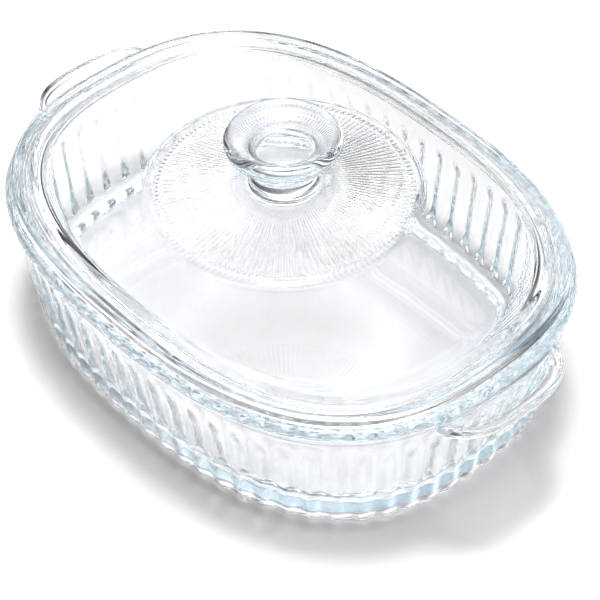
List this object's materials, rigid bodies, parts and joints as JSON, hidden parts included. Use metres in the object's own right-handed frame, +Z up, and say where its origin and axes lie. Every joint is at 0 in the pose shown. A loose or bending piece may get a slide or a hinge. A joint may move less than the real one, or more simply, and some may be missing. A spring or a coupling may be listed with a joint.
{
  "type": "covered casserole dish",
  "caption": "Oval pressed-glass casserole with fluted sides, a lug handle at each end and a loose domed lid with a hollow-topped knob.",
  "frame": {"origin": "on the table under the middle of the dish, at the bottom of its foot", "axes": "+X along the long axis through both handles, +Y across the dish, +Z up through the knob"},
  "size_m": [0.291, 0.198, 0.111],
  "materials": {
    "dish_glass": "clear pressed glass, fire-polished gloss, blue-green where it is thick",
    "lid_glass": "clear pressed glass, fire-polished gloss"
  },
  "bodies": {
    "dish": {"dish": "dish_glass"},
    "lid": {"lid": "lid_glass"}
  },
  "joints": [
    {"name": "lid_lift", "type": "slide", "parent": "dish", "child": "lid", "axis": [0, 0, 1], "range_m": [0, 0.08]}
  ]
}
